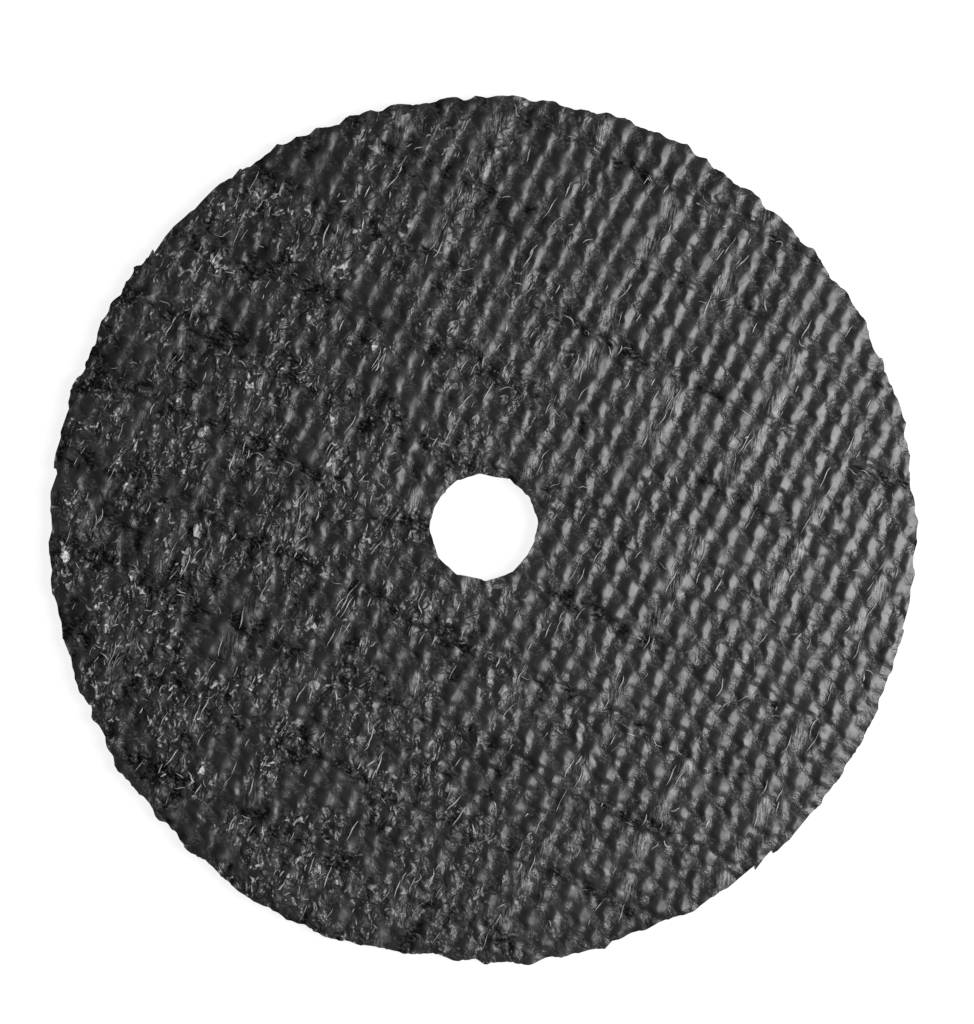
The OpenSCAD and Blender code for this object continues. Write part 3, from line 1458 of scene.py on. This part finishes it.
@dataclass(frozen=True)
class FibreFinish:
    """Pale glass fibre with resin on it."""

    name: str = "pale_fibre"
    cloud: Speckle = Speckle((1.2, 1.2), 3.0)
    tone_span: Span = (0.30, 0.70)
    tones: Span = (0.05, 0.50)
    rough: float = 0.4

    def build(self) -> bpy.types.Material:
        """Make the material."""
        shading = Shading(self.name)
        cloud = shading.noise(shading.where, self.cloud)
        shading.dress("Base Color", shading.ramp(cloud, self.tone_span, self.tones))
        shading.shader.inputs["Roughness"].default_value = self.rough
        return shading.material


@dataclass
class Stage:
    """White floor, a soft box at the right and a camera that looks straight down."""

    floor_z: float
    view_w: float = 0.08572
    view_x: float = 0.00029
    view_y: float = 0.001355
    camera_h: float = 0.26
    sensor_w: float = 36.0
    near_clip: float = 0.01
    floor_size: float = 3.0
    paper: float = 0.2
    glow: float = 0.88
    box_power: float = 1.30
    box_place: Tuple[float, float, float] = (0.21, -0.024, 0.235)
    box_size: Span = (0.15, 0.22)
    sky: float = 0.10

    def floor(self) -> None:
        """Lay a plain white floor that keeps the wheel's shadow."""
        s, z = self.floor_size / 2.0, self.floor_z
        mesh = bpy.data.meshes.new("floor")
        mesh.from_pydata([(-s, -s, z), (s, -s, z), (s, s, z), (-s, s, z)], [], [(0, 1, 2, 3)])
        mesh.materials.append(self.floor_material())
        thing = put("floor", mesh)

    def floor_material(self) -> bpy.types.Material:
        """White to the eye and in reflections, while it sheds little light on the wheel."""
        shading = Shading("white_paper")
        shading.nodes.remove(shading.shader)
        paper = shading.node("ShaderNodeBsdfDiffuse", {"Color": (self.paper, self.paper, self.paper, 1.0)})
        path = shading.nodes.new("ShaderNodeLightPath").outputs
        seen = path["Is Camera Ray"]
        for label in ("Is Glossy Ray", "Is Transmission Ray"):
            seen = shading.join("MAXIMUM", seen, path[label])
        glow = shading.node("ShaderNodeEmission", {"Strength": shading.ramp(seen, WHOLE, (0.0, self.glow))})
        total = shading.node("ShaderNodeAddShader", {0: paper.outputs[0], 1: glow.outputs[0]})
        shading.links.new(total.outputs[0], shading.nodes["Material Output"].inputs["Surface"])
        return shading.material

    def lamp(self) -> None:
        """Hang the soft box so that it faces the wheel."""
        lamp = bpy.data.lights.new("soft_box", "AREA")
        lamp.shape = "RECTANGLE"
        lamp.size, lamp.size_y = self.box_size
        lamp.energy = self.box_power
        thing = put("soft_box", lamp)
        thing.location = self.box_place
        thing.rotation_euler = (-Vector(self.box_place)).to_track_quat("-Z", "Y").to_euler()

    def world(self) -> None:
        """Give dim even light from all round."""
        world = bpy.data.worlds.new("room")
        world.use_nodes = True
        back = world.node_tree.nodes["Background"]
        back.inputs["Color"].default_value = (1.0, 1.0, 1.0, 1.0)
        back.inputs["Strength"].default_value = self.sky
        bpy.context.scene.world = world

    def camera(self) -> None:
        """Look straight down, with the wheel where the photograph has it."""
        lens = bpy.data.cameras.new("camera")
        lens.sensor_fit = "HORIZONTAL"
        lens.sensor_width = self.sensor_w
        front_z = -self.floor_z
        lens.lens = self.sensor_w * (self.camera_h - front_z) / self.view_w
        lens.clip_start = self.near_clip
        thing = put("camera", lens)
        thing.location = (self.view_x, self.view_y, self.camera_h)
        bpy.context.scene.camera = thing

    def build(self) -> None:
        """Set the floor, the light, the world and the camera."""
        self.floor()
        self.lamp()
        self.world()
        self.camera()
        bpy.context.scene.view_settings.view_transform = "Standard"


def main() -> None:
    """Build the wheel, its fibres and the stage."""
    logging.basicConfig(level=logging.INFO, format="%(message)s")
    weave = Weave()
    wheel = WheelBody(weave, Outline())
    body = wheel.build()
    body.data.materials.append(ResinFinish().build(weave.turn))
    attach(body, BODY)
    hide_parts(NODE)
    LOG.info("wheel_body: %d triangles", len(body.data.polygons))
    fibres = StrayFibres(wheel).build()
    fibres.data.materials.append(FibreFinish().build())
    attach(fibres, BODY)
    LOG.info("stray_fibres: %d triangles", len(fibres.data.polygons))
    low, _ = CAD_BOX
    Stage(floor_z=low[2]).build()
    LOG.info("stage: floor at %.4f m", low[2])


if __name__ == "__main__":
    main()
